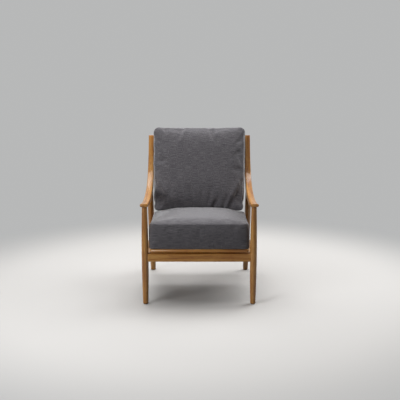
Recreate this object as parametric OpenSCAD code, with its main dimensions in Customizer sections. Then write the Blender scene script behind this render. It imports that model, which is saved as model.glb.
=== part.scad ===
// Show-wood armchair with loose seat and back cushions.
// Millimetres, +Z up, the front faces -Y, X runs across the chair.
// Design places are measured back from the axis of the front legs; origin_y then centres the chair.

/* [Legs] */
// Distance between the left and right leg axes
leg_spacing = 608; // [560:1:680]
// Front foot to rear foot, axis to axis on the floor
foot_depth = 690; // [650:1:730]
// Forward lean of the rear legs
rear_leg_lean = 20; // [14:1:22]
// Radius of a leg at the floor
foot_r = 15.5; // [12:0.5:18]
// Radius of a leg at its thickest, where the rails join
leg_r = 19.5; // [17:0.5:22]
// Radius of a front leg under the arm
leg_top_r = 14.5; // [12:0.5:16]
// Radius of a rear leg under the arm
rear_leg_top_r = 18; // [15:0.5:19]
// Height above the floor of the thickest part of a leg
belly_z = 265; // [230:1:300]

/* [Arms] */
// Height of the centre line of the arm at its front tip
arm_z = 578; // [560:1:600]
// Reach of the arm past the front leg axis
arm_reach = 45; // [36:1:60]
// Dip of the curve that the arm follows behind its front tip
arm_dip = 41; // [10:1:46]
// Thickness of the arm over the front leg
arm_t = 23; // [20:1:30]
// Thickness of the front tip of the arm
arm_tip_t = 16; // [12:1:20]
// Flare of the arm at its front tip
arm_flare = 5; // [0:1:8]
// Width of the arm behind its front tip
arm_w = 40; // [36:1:46]
// Width of the back post
post_w = 33; // [30:1:40]
// Thickness of the back post at its top
post_t = 32; // [28:1:40]
// Thickness of the bend between arm and back post
knee_t = 64; // [54:1:72]
// Width of the bend
knee_w = 38; // [34:1:41]
// Place of the bend behind the front leg
knee_y = 569; // [555:1:580]
// Height of the bend
knee_z = 640; // [630:1:655]
// Place of the post top behind the front leg
post_top_y = 664; // [650:1:680]
// Height of the centre of the post top
post_top_z = 888; // [860:1:920]
// Rounding of the arm edges
arm_edge_r = 6; // [3:0.5:9]

/* [Rails] */
// Height of the underside of the front rail
rail_z = 249; // [235:1:262]
// Depth of the rails from top to bottom
rail_h = 44; // [36:1:52]
// Thickness of the rails
rail_t = 22; // [18:1:26]
// Backward fall of the seat
seat_tilt = 3.5; // [0:0.5:5]
// Rounding of the rail edges
rail_edge_r = 3; // [1:0.5:6]
// Length of the stub tenons inside a leg
tenon_l = 11; // [8:0.5:12]
// Thickness of the stub tenons
tenon_t = 9; // [7:0.5:10]

/* [Back] */
// Place of the lower back rail behind the front leg
back_rail_y = 445; // [430:1:460]
// Height of the centre of the crest rail
crest_z = 853; // [830:1:870]
// Depth of the crest rail from top to bottom
crest_h = 58; // [46:1:64]
// Distance from spindle to spindle
spindle_pitch = 56; // [44:1:58]
// Radius of a spindle at its middle
spindle_r = 8; // [6.5:0.5:9]
// Radius of a spindle at its ends
spindle_end_r = 5; // [4:0.5:6]

/* [Seat frame] */
// Gap on each side between the seat frame and the front legs
frame_side_gap = 8.5; // [4:0.5:14]
// Width of each seat frame member
member_w = 45; // [40:1:55]
// Thickness of the seat frame
member_t = 28; // [24:1:32]
// Overhang of the seat frame past the front rail
nose_reach = 10; // [6:1:14]
// Width of one webbing strap
strap_w = 50; // [40:1:56]
// Thickness of the webbing
strap_t = 1.6; // [1.2:0.1:2]
// Straps that run front to back
straps_long = 5; // [3:1:6]
// Straps that run side to side
straps_cross = 4; // [2:1:5]

/* [Cushions] */
// Gap on each side between the seat cushion and the front legs
seat_side_gap = 3.5; // [2:0.5:10]
// Height of the seat cushion at its seams
seat_h = 145; // [120:1:155]
// Rise of the seat cushion in the middle
seat_crown = 48; // [30:1:54]
// Gap on each side between the back cushion and the back posts
back_side_gap = 4.5; // [2:0.5:16]
// Length of the back cushion up the back
back_l = 494; // [480:1:520]
// Thickness of the back cushion at its seams
back_t = 112; // [96:1:124]
// Swell of each big face of the back cushion
back_crown = 30; // [20:1:34]
// Thickness of the cushion covers
cover_t = 2.5; // [1.5:0.5:4]

/* [Hardware] */
// Thickness of the glides under the feet
glide_t = 4; // [3:0.5:6]
// Radius of the glides
glide_r = 11.5; // [9:0.5:12]
// Radius of the screws
screw_r = 2; // [1.5:0.25:2.5]

/* [Hidden] */

oak = [0.72, 0.49, 0.26];
beech = [0.80, 0.66, 0.46];
cloth = [0.36, 0.35, 0.36];
foam = [0.88, 0.85, 0.74];
elastic = [0.16, 0.15, 0.15];
nylon = [0.12, 0.11, 0.10];
steel = [0.75, 0.74, 0.70];
zip_metal = [0.45, 0.44, 0.42];

spindle_count = 9;

// Clearances
joint_gap = 0.1;
rest_gap = 0.3;
overlap = 1;

leg_x = leg_spacing / 2;
seat_frame_w = leg_spacing - 2 * (leg_r + frame_side_gap);
seat_w = leg_spacing - 2 * (leg_r + seat_side_gap);
back_w = leg_spacing - post_w - 2 * back_side_gap;
origin_y = -(foot_depth + foot_r / cos(rear_leg_lean) - arm_reach) / 2;
rail_top = rail_z + rail_h;

// Timber joints under the arm
pin_r = 9;
pin_l = 13;
housing = 2.5;
rear_pin_r = 10;
rear_pin_l = 26;

// Curve of the arm: one Bezier from tip to bend, one from bend to post top
knee_dir = [1, 1];
arm_front = [
    [-arm_reach, arm_z], [165, arm_z - arm_dip],
    [knee_y, knee_z] - 94 * knee_dir, [knee_y, knee_z]
];
arm_back = [
    [knee_y, knee_z], [knee_y, knee_z] + 28 * knee_dir,
    [post_top_y - 36, post_top_z - 98], [post_top_y, post_top_z]
];
arm_steps = 22;
post_steps = 14;

function bezier(p, t) =
    pow(1 - t, 3) * p[0] + 3 * t * pow(1 - t, 2) * p[1] + 3 * t * t * (1 - t) * p[2] + pow(t, 3) * p[3];
function bezier_dir(p, t) =
    let (d = 3 * pow(1 - t, 2) * (p[1] - p[0]) + 6 * t * (1 - t) * (p[2] - p[1]) + 3 * t * t * (p[3] - p[2]))
    d / norm(d);
function ease(t) = t * t * (3 - 2 * t);
function mix(a, b, t) = a + (b - a) * t;

// Thickness and width along the two stretches of the arm
tip_share = 0.12;
function arm_thick(t) =
    mix(arm_t, knee_t, pow(ease(t), 1.5)) - (arm_t - arm_tip_t) * pow(1 - min(1, t / tip_share), 2);
function arm_wide(t) =
    mix(arm_w, knee_w, ease(min(1, t * 1.6))) + arm_flare * pow(1 - min(1, t / tip_share), 2);
function post_thick(t) = mix(knee_t, post_t, ease(min(1, t * 1.15)));
function post_wide(t) = mix(knee_w, post_w, ease(min(1, t * 1.3)));

// A rounded rectangle of half sizes a by b, its corners in three steps each
corner_steps = 3;
function rounded_section(a, b, r) = [
    for (c = [0:3], i = [0:corner_steps])
        let (
            q = [[1, 1], [-1, 1], [-1, -1], [1, -1]][c],
            ang = 90 * c + 90 * i / corner_steps,
            rr = min(r, a * 0.95, b * 0.95)
        )
        [q[0] * (a - rr) + rr * cos(ang), q[1] * (b - rr) + rr * sin(ang)]
];

// One ring of the arm at a point with a direction; inset draws the ring in at the rounded ends
function arm_ring(p, d, thick, wide, inset) = [
    for (s = rounded_section(wide / 2 - inset, thick / 2 - inset, arm_edge_r))
        [-s[0], p[0] - d[1] * s[1], p[1] + d[0] * s[1]]
];

// Rounded ends: distance from the end and inset of the ring there
end_steps = [for (a = [0, 30, 60, 90]) [arm_edge_r * (1 - sin(a)), arm_edge_r * (1 - cos(a))]];

function arm_rings() = concat(
    [for (e = [for (i = [3:-1:0]) end_steps[i]])
        let (d = bezier_dir(arm_front, 0))
        arm_ring(arm_front[0] + d * e[0], d, arm_thick(0), arm_wide(0), e[1])],
    [for (i = [1:arm_steps])
        let (t = mix(0.03, 1, i / arm_steps))
        arm_ring(bezier(arm_front, t), bezier_dir(arm_front, t), arm_thick(t), arm_wide(t), 0)],
    [for (i = [1:post_steps])
        let (t = 0.96 * i / post_steps)
        arm_ring(bezier(arm_back, t), bezier_dir(arm_back, t), post_thick(t), post_wide(t), 0)],
    [for (e = end_steps)
        let (d = bezier_dir(arm_back, 1))
        arm_ring(arm_back[3] - d * e[0], d, post_thick(1), post_wide(1), e[1])]
);

// Skin over a stack of rings that all have as many points
module skin(rings) {
    n = len(rings[0]);
    m = len(rings);
    points = [for (r = rings, p = r) p];
    sides = [for (j = [0:m - 2], i = [0:n - 1], k = [0, 1])
        let (a = j * n + i, b = j * n + (i + 1) % n)
        k == 0 ? [a, a + n, b] : [b, a + n, b + n]];
    first = [for (i = [1:n - 2]) [0, i, i + 1]];
    last = [for (i = [1:n - 2]) [(m - 1) * n, (m - 1) * n + i + 1, (m - 1) * n + i]];
    polyhedron(points, concat(sides, first, last));
}

module placed() translate([0, origin_y, 0]) children();

// Left is the side with negative X
module on_side(side) translate([side * leg_x, 0, 0]) children();

// Profile of a turned leg: radius against distance along its axis
leg_steps = 14;
foot_chamfer = 2;
function turned_leg(length, belly, top_r, grow) = concat(
    [[0, 0], [foot_r - foot_chamfer + grow, 0]],
    [for (i = [0:leg_steps])
        let (s = mix(foot_chamfer, length, i / leg_steps))
        [grow + (s < belly ? mix(foot_r, leg_r, sin(90 * s / belly))
                           : mix(leg_r, top_r, 1 - cos(90 * (s - belly) / (length - belly)))), s]],
    [[0, length]]
);

// Front legs
function arm_z_at(y) =
    let (ts = [for (i = [0:80]) i / 80], hits = [for (t = ts) if (bezier(arm_front, t)[0] <= y) t])
    bezier(arm_front, hits[len(hits) - 1])[1];
arm_under = arm_z_at(0) - arm_t / 2 + housing;
module front_leg_blank(grow = 0)
    translate([0, 0, glide_t])
        rotate_extrude($fn = 64)
            polygon(turned_leg(arm_under - glide_t, belly_z - glide_t, leg_top_r, grow));

// Rear legs: their axis meets the floor at foot_depth and leans forward
module rear_leg_axis()
    translate([0, foot_depth, 0]) rotate([rear_leg_lean, 0, 0]) children();
rear_seat_z = arm_z;
rear_leg_l = rear_seat_z / cos(rear_leg_lean);
module rear_leg_blank(grow = 0)
    difference() {
        rear_leg_axis() translate([0, 0, -20]) rotate_extrude($fn = 64)
            polygon(turned_leg(rear_leg_l + 20, belly_z + 20, rear_leg_top_r, grow));
        translate([-100, foot_depth - 150, -100 + glide_t]) cube([200, 300, 100]);
    }

// The seat plane turns about the top of the front rail
module seat_plane()
    translate([0, 0, rail_top]) rotate([-seat_tilt, 0, 0]) children();
// A bar along X with rounded long edges
module bar(length, t, h, r)
    rotate([90, 0, 90]) translate([0, 0, -length / 2]) linear_extrude(length)
        union() {
            square([t, h - 2 * r], center = true);
            square([t - 2 * r, h], center = true);
            for (a = [-1, 1], b = [-1, 1])
                translate([a * (t / 2 - r), b * (h / 2 - r)]) circle(r, $fn = 32);
        }
module rail_bar(length) translate([0, 0, -rail_h / 2]) bar(length, rail_t, rail_h, rail_edge_r);

// Where the rails lie in the seat plane
rear_leg_y = foot_depth - tan(rear_leg_lean) * (rail_z + rail_h / 2 - tan(seat_tilt) * foot_depth);
side_rail_l = rear_leg_y / cos(seat_tilt);
// Cross rails stop short of the side rails inside the legs' outline
cross_rail_l = leg_spacing - rail_t - 2 * joint_gap;
tenon_h = rail_h - 14;

// Stub tenons at the ends of a cross rail at depth y of the seat plane
module cross_tenons(y, grow = 0)
    for (s = [-1, 1])
        translate([s * (leg_x - leg_r + tenon_l / 2 - 2), y, -rail_h / 2])
            cube([tenon_l + 4 + 2 * grow, tenon_t + 2 * grow, tenon_h + 2 * grow], center = true);

// Stub tenons at the ends of a side rail
module side_tenons(grow = 0)
    for (e = [[0, 1], [side_rail_l, -1]])
        translate([0, e[0] + e[1] * (leg_r - tenon_l / 2 + 2), -rail_h / 2])
            cube([tenon_t + 2 * grow, tenon_l + 4 + 2 * grow, tenon_h + 2 * grow], center = true);

module front_leg(side) color(oak) placed()
    difference() {
        union() {
            on_side(side) front_leg_blank();
            on_side(side) translate([0, 0, arm_under - overlap])
                cylinder(r = pin_r, h = pin_l + overlap, $fn = 48);
        }
        seat_plane() cross_tenons(0, joint_gap);
        on_side(side) seat_plane() side_tenons(joint_gap);
        on_side(side) cylinder(r = nail_r + joint_gap, h = glide_t + nail_l + joint_gap, $fn = 24);
    }

module rear_leg(side) color(oak) placed()
    difference() {
        union() {
            on_side(side) rear_leg_blank();
            on_side(side) rear_leg_axis() translate([0, 0, rear_leg_l - overlap])
                cylinder(r = rear_pin_r, h = rear_pin_l + overlap, $fn = 48);
        }
        seat_plane() cross_tenons(side_rail_l, joint_gap);
        on_side(side) seat_plane() side_tenons(joint_gap);
        on_side(side) translate([0, foot_depth, 0])
            cylinder(r = nail_r + joint_gap, h = glide_t + nail_l + joint_gap, $fn = 24);
    }

// Arm and back post in one sculpted piece
module arm(side) color(oak) placed()
    difference() {
        on_side(side) skin(arm_rings());
        // housings scribed to the legs, and bores for their pins
        on_side(side) front_leg_blank(joint_gap);
        on_side(side) translate([0, 0, arm_under - overlap])
            cylinder(r = pin_r + joint_gap, h = pin_l + overlap + joint_gap, $fn = 48);
        on_side(side) rear_leg_blank(joint_gap);
        on_side(side) rear_leg_axis() translate([0, 0, rear_leg_l - overlap])
            cylinder(r = rear_pin_r + joint_gap, h = rear_pin_l + overlap + joint_gap, $fn = 48);
        back_plane() crest_tenons(joint_gap);
    }

module front_rail() color(oak) placed()
    union() {
        difference() {
            seat_plane() rail_bar(cross_rail_l);
            for (s = [-1, 1]) on_side(s) front_leg_blank(joint_gap);
        }
        seat_plane() cross_tenons(0);
    }

module rear_rail() color(oak) placed()
    union() {
        difference() {
            seat_plane() translate([0, side_rail_l, 0]) rail_bar(cross_rail_l);
            for (s = [-1, 1]) on_side(s) rear_leg_blank(joint_gap);
        }
        seat_plane() cross_tenons(side_rail_l);
    }

module side_rail(side) color(oak) placed()
    difference() {
        union() {
            difference() {
                on_side(side) seat_plane()
                    translate([0, side_rail_l / 2, 0]) rotate([0, 0, 90]) rail_bar(side_rail_l);
                on_side(side) front_leg_blank(joint_gap);
                on_side(side) rear_leg_blank(joint_gap);
            }
            on_side(side) seat_plane() side_tenons();
        }
        back_plane() lower_tenons(joint_gap);
        batten_holes(side);
    }

// The back plane: its Z axis runs from the lower back rail up to the crest rail
back_rail_z = rail_top - rail_h / 2 - tan(seat_tilt) * back_rail_y;
function post_y(z) =
    let (ts = [for (i = [0:40]) i / 40], hits = [for (t = ts) if (bezier(arm_back, t)[1] <= z) t])
    bezier(arm_back, hits[len(hits) - 1])[0];
crest_y = post_y(crest_z);
back_lean = atan((crest_y - back_rail_y) / (crest_z - back_rail_z));
crest_d = norm([crest_y - back_rail_y, crest_z - back_rail_z]);
module back_plane()
    translate([0, back_rail_y, back_rail_z]) rotate([-back_lean, 0, 0]) children();

rail_inner_x = leg_x - rail_t / 2;
post_inner_x = leg_x - post_w / 2;
stub_l = 10;
module stubs(x, h, grow)
    for (s = [-1, 1])
        translate([s * (x + stub_l / 2 - overlap / 2), 0, 0])
            cube([stub_l + overlap + 2 * grow, tenon_t + 2 * grow, h + 2 * grow], center = true);
module crest_tenons(grow = 0) translate([0, 0, crest_d]) stubs(post_inner_x, crest_h - 20, grow);
module lower_tenons(grow = 0) stubs(rail_inner_x, rail_h - 20, grow);

board_r = 5;
bore_l = 14;
module spindle_bores(z0, z1) for (i = [1:spindle_count])
    translate([spindle_x(i), 0, z0]) cylinder(r = spindle_end_r + joint_gap, h = z1 - z0, $fn = 32);
function spindle_x(i) = (i - (spindle_count + 1) / 2) * spindle_pitch;
spindle_low = rail_h / 2 - bore_l;
spindle_high = crest_d - crest_h / 2 + bore_l;

module crest_rail() color(oak) placed() back_plane()
    difference() {
        union() {
            translate([0, 0, crest_d]) bar(2 * (post_inner_x - joint_gap), rail_t, crest_h, board_r);
            crest_tenons();
        }
        spindle_bores(crest_d - crest_h / 2 - overlap, spindle_high + joint_gap);
    }

module lower_back_rail() color(oak) placed() back_plane()
    difference() {
        union() {
            bar(2 * (rail_inner_x - joint_gap), rail_t, rail_h, board_r);
            lower_tenons();
        }
        spindle_bores(spindle_low - joint_gap, rail_h / 2 + overlap);
    }

// Turned spindle, thickest in its middle, with straight ends for its bores
spindle_steps = 12;
module spindle(i) color(oak) placed() back_plane()
    translate([spindle_x(i), 0, spindle_low]) rotate_extrude($fn = 40)
        polygon(concat(
            [[0, 0], [spindle_end_r, 0]],
            [for (k = [0:spindle_steps])
                let (f = k / spindle_steps)
                [mix(spindle_end_r, spindle_r, sin(180 * f)), mix(bore_l, spindle_high - spindle_low - bore_l, f)]],
            [[spindle_end_r, spindle_high - spindle_low], [0, spindle_high - spindle_low]]
        ));

// Battens inside the side rails carry the seat frame
batten_t = 36;
batten_h = 22;
batten_y0 = rail_t / 2 + leg_r + 8;
batten_y1 = back_rail_y - rail_t - 12;
screw_l = 50;
screw_head_r = 2 * screw_r;
batten_x = rail_inner_x - joint_gap - batten_t / 2;
module batten_places() for (f = [0.12, 0.5, 0.88])
    translate([0, mix(batten_y0, batten_y1, f), -batten_h / 2]) children();
module batten_holes(side) placed_none() seat_plane() batten_places()
    translate([side * (rail_inner_x - batten_t), 0, 0]) rotate([0, side * 90, 0])
        cylinder(r = screw_r + joint_gap, h = screw_l + batten_t / 2, $fn = 24);
module placed_none() children();

module seat_batten(side) color(beech) placed()
    difference() {
        seat_plane() translate([side * batten_x, (batten_y0 + batten_y1) / 2, -batten_h / 2])
            cube([batten_t, batten_y1 - batten_y0, batten_h], center = true);
        seat_plane() batten_places() translate([side * (rail_inner_x - batten_t - overlap), 0, 0])
            rotate([0, side * 90, 0]) {
                cylinder(r = screw_r + joint_gap, h = batten_t + 3 * overlap, $fn = 24);
                cylinder(r1 = screw_head_r + joint_gap + overlap, r2 = screw_r + joint_gap,
                    h = screw_head_r - screw_r + overlap, $fn = 24);
            }
        frame_screw_places() translate([0, 0, -batten_h - overlap])
            cylinder(r = screw_r + joint_gap, h = batten_h + 2 * overlap, $fn = 24);
    }

module countersunk(length) {
    cylinder(r1 = screw_head_r, r2 = screw_r, h = screw_head_r - screw_r, $fn = 24);
    translate([0, 0, screw_head_r - screw_r - 0.01]) cylinder(r = screw_r, h = length - 3, $fn = 24);
}
module batten_screws() color(steel) placed() seat_plane()
    for (side = [-1, 1]) batten_places()
        translate([side * (rail_inner_x - batten_t - joint_gap), 0, 0])
            rotate([0, side * 90, 0]) countersunk(screw_l);

// Loose seat frame, in the seat plane, its top flush with the webbing
frame_front = -rail_t / 2 - nose_reach;
frame_back = back_rail_y - rail_t / 2 - 8;
frame_half = seat_frame_w / 2;
nose_r = member_t / 2;
rebate_w = 14;
rebate_h = 2 * strap_t + joint_gap;
module frame_member(x0, x1, y0, y1) translate([x0, y0, 0]) cube([x1 - x0, y1 - y0, member_t]);
module webbing_rebate()
    translate([-frame_half + member_w - rebate_w, frame_front + member_w - rebate_w, member_t - rebate_h])
        cube([seat_frame_w - 2 * (member_w - rebate_w), frame_back - frame_front - 2 * (member_w - rebate_w), member_t]);
dowel_r = 4;
dowel_l = 36;
module frame_dowel_places() for (s = [-1, 1], y = [frame_front + member_w, frame_back - member_w], d = [-1, 1])
    translate([s * (frame_half - member_w / 2 + d * member_w / 4), y, member_t / 2 - 3]) rotate([90, 0, 0])
        children();
module frame_dowel_bores() frame_dowel_places()
    cylinder(r = dowel_r + joint_gap, h = dowel_l + 2 * joint_gap, center = true, $fn = 32);
frame_screw_y = [batten_y0 + 30, batten_y1 - 75];
frame_screw_x = frame_half - 9;
module frame_screw_places() seat_plane()
    for (s = [-1, 1], y = frame_screw_y) translate([s * frame_screw_x, y, 0]) children();
module frame_screw_bores() for (s = [-1, 1], y = frame_screw_y)
    translate([s * frame_screw_x, y, -overlap])
        cylinder(r = screw_r + joint_gap, h = member_t - 8 + overlap, $fn = 24);

nose_plan_r = 16;
module seat_frame_front() color(oak) placed() seat_plane()
    difference() {
        intersection() {
            rotate([90, 0, 90]) translate([0, 0, -frame_half]) linear_extrude(seat_frame_w) union() {
                translate([frame_front + nose_r, nose_r]) circle(nose_r, $fn = 48);
                translate([frame_front + nose_r, 0]) square([member_w - nose_r, member_t]);
            }
            linear_extrude(member_t) union() {
                translate([-frame_half, frame_front + nose_plan_r]) square([seat_frame_w, member_w]);
                translate([-frame_half + nose_plan_r, frame_front])
                    square([seat_frame_w - 2 * nose_plan_r, member_w]);
                for (s = [-1, 1]) translate([s * (frame_half - nose_plan_r), frame_front + nose_plan_r])
                    circle(nose_plan_r, $fn = 48);
            }
        }
        webbing_rebate();
        frame_dowel_bores();
    }
module seat_frame_rear() color(oak) placed() seat_plane()
    difference() {
        frame_member(-frame_half, frame_half, frame_back - member_w, frame_back);
        webbing_rebate();
        frame_dowel_bores();
    }
module seat_frame_side(side) color(oak) placed() seat_plane()
    difference() {
        frame_member(side > 0 ? frame_half - member_w : -frame_half,
            side > 0 ? frame_half : -frame_half + member_w,
            frame_front + member_w, frame_back - member_w);
        webbing_rebate();
        frame_dowel_bores();
        frame_screw_bores();
    }
module seat_frame_dowels() color(beech) placed() seat_plane() frame_dowel_places()
    cylinder(r = dowel_r, h = dowel_l, center = true, $fn = 32);
module seat_frame_screws() color(steel) placed() frame_screw_places()
    translate([0, 0, -batten_h]) {
        cylinder(r = screw_r, h = batten_h + member_t - 10, $fn = 24);
        translate([0, 0, -2]) cylinder(r = screw_head_r, h = 2, $fn = 24);
    }

// Elastic webbing, woven over and under
open_w = seat_frame_w - 2 * (member_w - rebate_w) - 2 * joint_gap;
open_l = frame_back - frame_front - 2 * (member_w - rebate_w) - 2 * joint_gap;
open_mid = (frame_front + frame_back) / 2;
web_mid = member_t - strap_t - joint_gap / 2;
long_pitch = (open_w - 2 * rebate_w) / straps_long;
cross_pitch = (open_l - 2 * rebate_w) / straps_cross;
function at_centre(i, n, pitch) = (i - (n + 1) / 2) * pitch;
// Side view of one strap: flat over each crossing, sloping between them
module strap_profile(length, n, pitch, first) {
    lift = strap_t / 2 + joint_gap / 4;
    flat = strap_w / 2 + 1.5;
    line = concat(
        [[-length / 2, -lift]],
        [for (i = [1:n], e = [-1, 1]) [at_centre(i, n, pitch) + e * flat, ((i + first) % 2 == 0 ? 1 : -1) * lift]],
        [[length / 2, -lift]]
    );
    polygon(concat(
        [for (p = line) p + [0, strap_t / 2]],
        [for (i = [len(line) - 1:-1:0]) line[i] - [0, strap_t / 2]]
    ));
}
module webbing_lengthwise() color(elastic) placed() seat_plane()
    for (i = [1:straps_long])
        translate([at_centre(i, straps_long, long_pitch) - strap_w / 2, open_mid, web_mid])
            rotate([90, 0, 90]) linear_extrude(strap_w)
                strap_profile(open_l, straps_cross, cross_pitch, i);
module webbing_crosswise() color(elastic) placed() seat_plane()
    for (j = [1:straps_cross])
        translate([0, open_mid + at_centre(j, straps_cross, cross_pitch) + strap_w / 2, web_mid])
            rotate([90, 0, 0]) linear_extrude(strap_w)
                strap_profile(open_w, straps_long, long_pitch, j + 1);

// Nylon glides nailed under the feet
nail_r = 1.6;
nail_l = 14;
module glide(side, y) color(nylon) placed() on_side(side) translate([0, y, 0])
    union() {
        cylinder(r1 = glide_r - 1.5, r2 = glide_r, h = 1.5, $fn = 48);
        translate([0, 0, 1.5]) cylinder(r = glide_r, h = glide_t - 1.5, $fn = 48);
        translate([0, 0, 1]) cylinder(r = nail_r, h = glide_t + nail_l - 1, $fn = 24);
    }

// Plan outline of a cushion: rounded corners, and sides that pull in between them.
// The side towards negative Y times flat_side stays straight.
arc_steps = 4;
side_steps = 4;
corners = [[1, 1], [-1, 1], [-1, -1], [1, -1]];
function outline(a, b, r, pull, flat_side) = [
    for (c = [0:3], i = [0:arc_steps + side_steps - 1])
        let (
            q = corners[c], n = corners[(c + 1) % 4],
            from = [q[0] * (a - r) + r * cos(90 * c + 90), q[1] * (b - r) + r * sin(90 * c + 90)],
            to = [n[0] * (a - r) + r * cos(90 * c + 90), n[1] * (b - r) + r * sin(90 * c + 90)],
            ang = 90 * c + 90 * i / arc_steps,
            p = i <= arc_steps ? [q[0] * (a - r) + r * cos(ang), q[1] * (b - r) + r * sin(ang)]
                               : mix(from, to, (i - arc_steps) / side_steps),
            dx = pull * (p[0] / a) * (1 - pow(p[1] / b, 2)),
            dy = p[1] * flat_side > 0 ? 0 : pull * (p[1] / b) * (1 - pow(p[0] / a, 2))
        )
        [p[0] - dx, p[1] - dy]
];

// Swell of the border between its seams
seam_in = 5;
border_rings = [0, 0.04, 0.25, 0.75, 0.96, 1];
function border(v) = seam_in * (1 - pow(2 * v - 1, 2)) - seam_in - (v <= 0 || v >= 1 ? 3 : 0);
under_rings = [0.4, 0.8, 0.965];
top_rings = [0.985, 0.93, 0.84, 0.7, 0.5, 0.25];
// Rings of a boxed cushion from the middle of its underside to the middle of its top.
// k holds width, length, height, lower swell, upper swell, corner radius, pull, flat side
// and how far the highest place lies off the middle.
function cushion_rings(k, inset) =
    let (a = k[0] / 2 - inset, b = k[1] / 2 - inset, r = k[5])
    concat(
        [for (f = under_rings)
            [for (p = outline(a - seam_in - 3, b - seam_in - 3, mix(b * 0.7, r, f), k[6], k[7]))
                [p[0] * f, p[1] * f, inset - k[3] * (1 - pow(f, 4))]]],
        [for (v = border_rings)
            [for (p = outline(a + border(v), b + border(v), r, k[6], k[7]))
                [p[0], p[1], mix(inset, k[2] - inset, v)]]],
        [for (f = top_rings)
            [for (p = outline(a - seam_in - 3, b - seam_in - 3, mix(b * 0.7, r, pow(f, 2)), k[6], k[7]))
                [p[0] * f, p[1] * f + k[8] * (1 - f), k[2] - inset + k[4] * (1 - pow(f, 3))]]]
    );

// Seat cushion, on the seat frame; its rear border leans back with the spindles
seat_back = back_rail_y - 3;
seat_front = frame_front + 3;
seat_l = seat_back - seat_front;
seat_lean = back_lean - seat_tilt;
seat_kind = [seat_w, seat_l, seat_h, 0, seat_crown, 20, 3, 1, 36];
function seat_warp(p) = [p[0], p[1] + p[2] * tan(seat_lean) * pow(max(0, 2 * p[1] / seat_l), 3), p[2]];
function seat_rings(inset) = [for (r = cushion_rings(seat_kind, inset)) [for (p = r) seat_warp(p)]];
module seat_cushion_place() placed() seat_plane()
    translate([0, (seat_front + seat_back) / 2, member_t + rest_gap]) children();
module seat_cushion_cover() color(cloth) seat_cushion_place()
    difference() {
        skin(seat_rings(0));
        skin(seat_rings(cover_t));
    }
module seat_cushion_foam() color(foam) seat_cushion_place()
    skin(seat_rings(cover_t + rest_gap));

// Back cushion, leaning on the spindles; its underside lies along the seat cushion
back_low = 218;
back_under = 12;
sole_flat = 40;
sole_rise = 30;
back_kind = [back_w, back_l, back_t, back_under, back_crown, 34, 6, -1, 0];
function back_warp(p) =
    let (
        share = pow(max(0, 0.5 - p[1] / back_l), 2),
        hump = sole_rise * max(0, p[2] - sole_flat) / (back_t + back_crown - sole_flat)
    )
    [p[0] * (1 - 0.03 * share),
     p[1] + share * (hump * (1 - pow(2 * p[0] / back_w, 2)) - p[2] * tan(seat_lean)), p[2]];
function back_rings(inset) = [for (r = cushion_rings(back_kind, inset)) [for (p = r) back_warp(p)]];
module back_cushion_place() placed() back_plane()
    translate([0, -max(spindle_r, rail_t / 2) - rest_gap - back_under, back_low + back_l / 2])
        rotate([90, 0, 0]) children();
module back_cushion_cover() color(cloth) back_cushion_place()
    difference() {
        skin(back_rings(0));
        skin(back_rings(cover_t));
    }
module back_cushion_filling() color(foam) back_cushion_place()
    skin(back_rings(cover_t + rest_gap));

// Zips: a tape along a border with a slider that runs on it
zip_l = 420;
zip_h = 22;
zip_t = 1.2;
slider = [12, 4, 9];
module zip_tape_solid() cube([zip_l, zip_t, zip_h], center = true);
module zip_slider_solid() union() {
    cube(slider, center = true);
    translate([slider[0] / 2 + 6, 1, 0]) cube([16, 1.4, 5], center = true);
}
zip_start = -zip_l / 2 + 20;
module seat_zip_place(out) seat_cushion_place()
    translate([0, seat_l / 2 + border(border_rings[2]) + (out + tan(seat_lean) * seat_h / 2), seat_h / 2])
        rotate([-seat_lean, 0, 0]) children();
module seat_zip_tape() color(cloth) seat_zip_place(rest_gap + zip_t / 2) zip_tape_solid();
module seat_zip_slider() color(zip_metal)
    seat_zip_place(2 * rest_gap + zip_t + slider[1] / 2) translate([zip_start, 0, 0]) zip_slider_solid();
// The flat band of the sole between its second and third border rings takes the tape
sole_v0 = border_rings[1];
sole_v1 = border_rings[2];
sole_slope = (border(sole_v1) - border(sole_v0)) / ((sole_v1 - sole_v0) * back_t) + tan(seat_lean);
sole_mid = back_t * (sole_v0 + sole_v1) / 2;
module back_zip_place(out) back_cushion_place()
    translate([0, -back_l / 2 - (border(sole_v0) + border(sole_v1)) / 2 - sole_mid * tan(seat_lean), sole_mid])
        rotate([atan(sole_slope), 0, 0]) mirror([0, 1, 0]) translate([0, out, 0]) children();
module back_zip_tape() color(cloth) back_zip_place(rest_gap + zip_t / 2) zip_tape_solid();
module back_zip_slider() color(zip_metal)
    back_zip_place(2 * rest_gap + zip_t + slider[1] / 2) translate([zip_start, 0, 0]) zip_slider_solid();

front_leg(-1);  // front_leg_left
front_leg(1);  // front_leg_right
rear_leg(-1);  // rear_leg_left
rear_leg(1);  // rear_leg_right
arm(-1);  // arm_left
arm(1);  // arm_right
front_rail();
rear_rail();
side_rail(-1);  // side_rail_left
side_rail(1);  // side_rail_right
crest_rail();
lower_back_rail();
for (i = [1:spindle_count]) spindle(i);
seat_batten(-1);  // seat_batten_left
seat_batten(1);  // seat_batten_right
batten_screws();
seat_frame_front();
seat_frame_rear();
seat_frame_side(-1);  // seat_frame_left
seat_frame_side(1);  // seat_frame_right
seat_frame_dowels();
seat_frame_screws();
webbing_lengthwise();
webbing_crosswise();
glide(-1, 0);  // glide_front_left
glide(1, 0);  // glide_front_right
glide(-1, foot_depth);  // glide_rear_left
glide(1, foot_depth);  // glide_rear_right
seat_cushion_cover();
seat_cushion_foam();
back_cushion_cover();
back_cushion_filling();
seat_zip_tape();
seat_zip_slider();
back_zip_tape();
back_zip_slider();
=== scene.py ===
"""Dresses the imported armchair: lacquered oak, two boxed cushions in heathered cloth, elastic
webbing and hardware.

Everything is in metres in the chair's own frame: Z up, the front towards -Y, X across the chair.
"""

import math

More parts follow.
